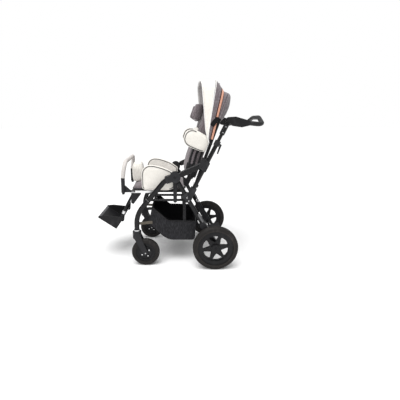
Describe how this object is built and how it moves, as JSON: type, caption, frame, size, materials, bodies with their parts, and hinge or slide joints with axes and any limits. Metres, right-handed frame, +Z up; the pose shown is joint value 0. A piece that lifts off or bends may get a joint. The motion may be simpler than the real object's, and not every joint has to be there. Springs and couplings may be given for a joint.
{
  "type": "special needs stroller",
  "caption": "Folding adaptive stroller: padded reclining seat with head, trunk and thigh supports, pommel, bumper bar, canopy, footplate and basket, on spoked rear wheels and swivel casters.",
  "frame": {"origin": "on the floor, at the middle of the stroller's box in plan", "axes": "+Z up, -X to the front where the footplate is, +X to the push handle, -Y the child's right-hand side seen in the picture"},
  "size_m": [1.1347, 0.618, 1.2495],
  "materials": {
    "frame_black": "gloss black paint",
    "plastic_grey": "fine grained",
    "plastic_black": "satin",
    "handle_foam": "soft foam",
    "stem_alloy": "satin black",
    "bright_metal": "polished",
    "silver_rail": "satin silver",
    "tyre_rubber": "matte",
    "cream_cloth": "soft woven",
    "mauve_cloth": "melange weave",
    "bumper_foam": "soft foam",
    "basket_cloth": "coarse weave"
  },
  "bodies": {
    "front_frame": {"front_leg_left": "frame_black", "front_leg_right": "frame_black", "fold_hubs": "plastic_grey", "caster_collars": "bright_metal", "seat_base_frame": "frame_black", "seat_side_rails": "frame_black", "seat_front_rails": "silver_rail", "seat_board": "plastic_black", "seat_cushion": "mauve_cloth", "thigh_guard_left": "cream_cloth", "thigh_guard_right": "cream_cloth", "bumper_sockets": "plastic_grey", "legrest_brackets": "plastic_grey", "basket": "basket_cloth", "basket_straps": "basket_cloth"},
    "bumper": {"bumper_bar": "bumper_foam", "bumper_tips": "frame_black"},
    "pommel": {"pommel_pad": "cream_cloth", "pommel_stem": "plastic_black"},
    "legrest": {"legrest_struts": "frame_black", "legrest_clamps": "bright_metal"},
    "footrest": {"footplate": "plastic_black"},
    "rear_frame": {"rear_leg_left": "frame_black", "rear_leg_right": "frame_black", "leg_connectors": "plastic_grey", "leg_stays": "bright_metal", "axle_housings": "plastic_grey", "rear_axle": "frame_black"},
    "brake": {"brake_bar": "plastic_grey"},
    "upper_frame": {"push_tube_left": "frame_black", "push_tube_right": "frame_black", "side_links": "frame_black", "tube_brackets": "plastic_grey", "tube_feet": "plastic_grey", "height_clamps": "plastic_grey"},
    "handle_slider": {"handle_stems": "stem_alloy"},
    "handle": {"handle_bar": "handle_foam", "handle_housings": "plastic_black"},
    "backrest": {"back_frame": "frame_black", "back_pad": "mauve_cloth", "back_flap": "mauve_cloth", "canopy_band": "mauve_cloth"},
    "head_support": {"headrest": "mauve_cloth"},
    "canopy": {"canopy_front": "cream_cloth"},
    "caster_left": {"caster_fork_left": "plastic_grey"},
    "front_wheel_left": {"front_rim_left": "plastic_black", "front_tyre_left": "tyre_rubber"},
    "rear_wheel_left": {"rear_rim_left": "plastic_black", "rear_tyre_left": "tyre_rubber"},
    "lever_left": {"clamp_lever_left": "plastic_grey"},
    "button_left": {"tilt_button_left": "plastic_black"},
    "trunk_support_left": {"trunk_pad_left": "cream_cloth"},
    "caster_right": {"caster_fork_right": "plastic_grey"},
    "front_wheel_right": {"front_rim_right": "plastic_black", "front_tyre_right": "tyre_rubber"},
    "rear_wheel_right": {"rear_rim_right": "plastic_black", "rear_tyre_right": "tyre_rubber"},
    "lever_right": {"clamp_lever_right": "plastic_grey"},
    "button_right": {"tilt_button_right": "plastic_black"},
    "trunk_support_right": {"trunk_pad_right": "cream_cloth"}
  },
  "joints": [
    {"name": "frame_fold", "type": "hinge", "parent": "front_frame", "child": "upper_frame", "pos_m": [-0.0178, 0, 0.619], "axis": [0, -1, 0], "range_deg": [0, 75]},
    {"name": "rear_fold", "type": "hinge", "parent": "front_frame", "child": "rear_frame", "pos_m": [-0.0178, 0, 0.619], "axis": [0, 1, 0], "range_deg": [0, 36]},
    {"name": "brake_press", "type": "hinge", "parent": "rear_frame", "child": "brake", "pos_m": [0.2202, 0, 0.172], "axis": [0, 1, 0], "range_deg": [0, 18]},
    {"name": "handle_height", "type": "slide", "parent": "upper_frame", "child": "handle_slider", "axis": [0.4415, 0, 0.8973], "range_m": [-0.03, 0.08]},
    {"name": "handle_tilt", "type": "hinge", "parent": "handle_slider", "child": "handle", "pos_m": [0.32187, 0, 0.98249], "axis": [0, 1, 0], "range_deg": [-60, 25]},
    {"name": "recline", "type": "hinge", "parent": "upper_frame", "child": "backrest", "pos_m": [0.1102, 0, 0.532], "axis": [0, 1, 0], "range_deg": [-8, 15]},
    {"name": "head_height", "type": "slide", "parent": "backrest", "child": "head_support", "axis": [0.3289, 0, 0.9444], "range_m": [-0.03, 0.06]},
    {"name": "canopy_open", "type": "hinge", "parent": "backrest", "child": "canopy", "pos_m": [0.21511, 0, 0.83326], "axis": [0, 1, 0], "range_deg": [-60, 0]},
    {"name": "legrest_swing", "type": "hinge", "parent": "front_frame", "child": "legrest", "pos_m": [-0.3098, 0, 0.488], "axis": [0, 1, 0], "range_deg": [-12, 55]},
    {"name": "footplate_tilt", "type": "hinge", "parent": "legrest", "child": "footrest", "pos_m": [-0.38998, 0, 0.32631], "axis": [0, 1, 0], "range_deg": [-34, 25]},
    {"name": "bumper_lift", "type": "slide", "parent": "front_frame", "child": "bumper", "axis": [0, 0, -1], "range_m": [-0.06, 0]},
    {"name": "pommel_lift", "type": "slide", "parent": "front_frame", "child": "pommel", "axis": [0, 0, -1], "range_m": [-0.08, 0]},
    {"name": "swivel_left", "type": "hinge", "parent": "front_frame", "child": "caster_left", "pos_m": [-0.2778, -0.228, 0.246], "axis": [0, 0, 1], "continuous": true},
    {"name": "front_spin_left", "type": "hinge", "parent": "caster_left", "child": "front_wheel_left", "pos_m": [-0.2208, -0.228, 0.095], "axis": [0, 1, 0], "continuous": true},
    {"name": "rear_spin_left", "type": "hinge", "parent": "rear_frame", "child": "rear_wheel_left", "pos_m": [0.2502, -0.288, 0.15], "axis": [0, 1, 0], "continuous": true},
    {"name": "lever_left", "type": "hinge", "parent": "upper_frame", "child": "lever_left", "pos_m": [0.27455, -0.228, 0.82745], "axis": [0, -1, 0], "range_deg": [0, 80]},
    {"name": "button_left", "type": "slide", "parent": "handle", "child": "button_left", "axis": [0, 1, 0], "range_m": [0, 0.003], "stiffness_N_per_m": 500},
    {"name": "trunk_height_left", "type": "slide", "parent": "backrest", "child": "trunk_support_left", "axis": [0.3289, 0, 0.9444], "range_m": [-0.03, 0.03]},
    {"name": "swivel_right", "type": "hinge", "parent": "front_frame", "child": "caster_right", "pos_m": [-0.2778, 0.228, 0.246], "axis": [0, 0, 1], "continuous": true},
    {"name": "front_spin_right", "type": "hinge", "parent": "caster_right", "child": "front_wheel_right", "pos_m": [-0.2208, 0.228, 0.095], "axis": [0, 1, 0], "continuous": true},
    {"name": "rear_spin_right", "type": "hinge", "parent": "rear_frame", "child": "rear_wheel_right", "pos_m": [0.2502, 0.288, 0.15], "axis": [0, 1, 0], "continuous": true},
    {"name": "lever_right", "type": "hinge", "parent": "upper_frame", "child": "lever_right", "pos_m": [0.27455, 0.228, 0.82745], "axis": [0, -1, 0], "range_deg": [0, 80]},
    {"name": "button_right", "type": "slide", "parent": "handle", "child": "button_right", "axis": [0, -1, 0], "range_m": [0, 0.003], "stiffness_N_per_m": 500},
    {"name": "trunk_height_right", "type": "slide", "parent": "backrest", "child": "trunk_support_right", "axis": [0.3289, 0, 0.9444], "range_m": [-0.03, 0.03]}
  ],
  "couplings": [
    {"joint": "rear_fold", "follows": "frame_fold", "ratio": 0.48}
  ]
}
